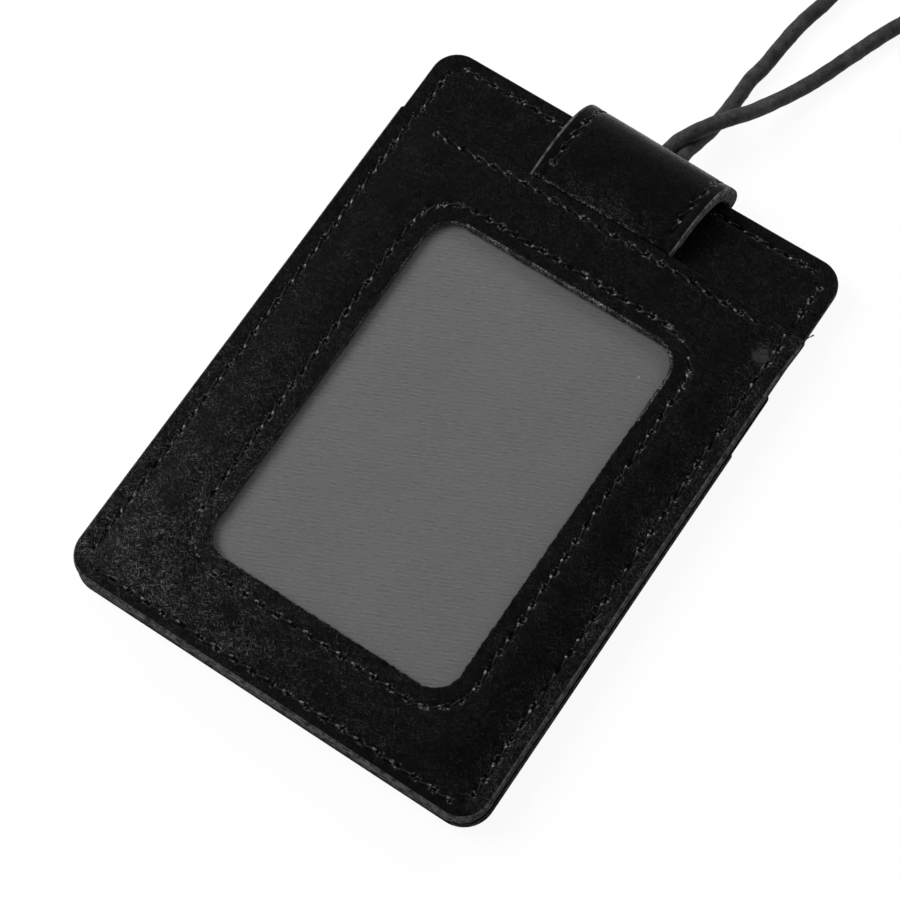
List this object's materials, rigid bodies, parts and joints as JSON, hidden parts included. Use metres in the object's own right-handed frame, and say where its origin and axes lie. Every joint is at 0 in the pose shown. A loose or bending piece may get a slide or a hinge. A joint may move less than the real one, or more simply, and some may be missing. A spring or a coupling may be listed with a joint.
{
  "type": "id badge wallet",
  "caption": "Flat black leather badge wallet with a window pocket in front, card slots behind, and a sewn strap loop that holds a thin neck cord.",
  "frame": {"origin": "under the middle of the wallet's leather, on the surface that it lies on", "axes": "+X across the wallet, +Y from its bottom edge to the strap, +Z out of the window"},
  "size_m": [0.0868, 0.2066, 0.0106],
  "materials": {
    "leather": "smooth, half gloss",
    "film": "clear, glossy",
    "lining": "grey twill",
    "board": "matt",
    "thread": "waxed thread",
    "cord": "waxed cotton",
    "tie": "matt"
  },
  "bodies": {
    "wallet": {"front_panel": "leather", "inner_panel": "leather", "back_panel": "leather", "rear_slot_upper": "leather", "rear_slot_lower": "leather", "strap_outer": "leather", "strap_lining": "leather", "perimeter_seam_front": "thread", "perimeter_seam_rear": "thread", "window_seam": "thread", "mouth_seam": "thread", "rear_upper_mouth_seam": "thread", "rear_lower_mouth_seam": "thread", "strap_left_seam": "thread", "strap_right_seam": "thread", "strap_front_anchor_seam": "thread", "strap_rear_anchor_seam": "thread", "window_film": "film", "pocket_lining": "lining", "stiffener_board": "board"},
    "cord": {"cord_knot": "cord", "cord_upper_strand": "cord", "cord_lower_strand": "cord", "cord_coil": "cord", "coil_tie": "tie"}
  },
  "joints": [
    {"name": "cord_slide", "type": "slide", "parent": "wallet", "child": "cord", "axis": [0, 1, 0], "range_m": [-0.0012, 0]}
  ]
}
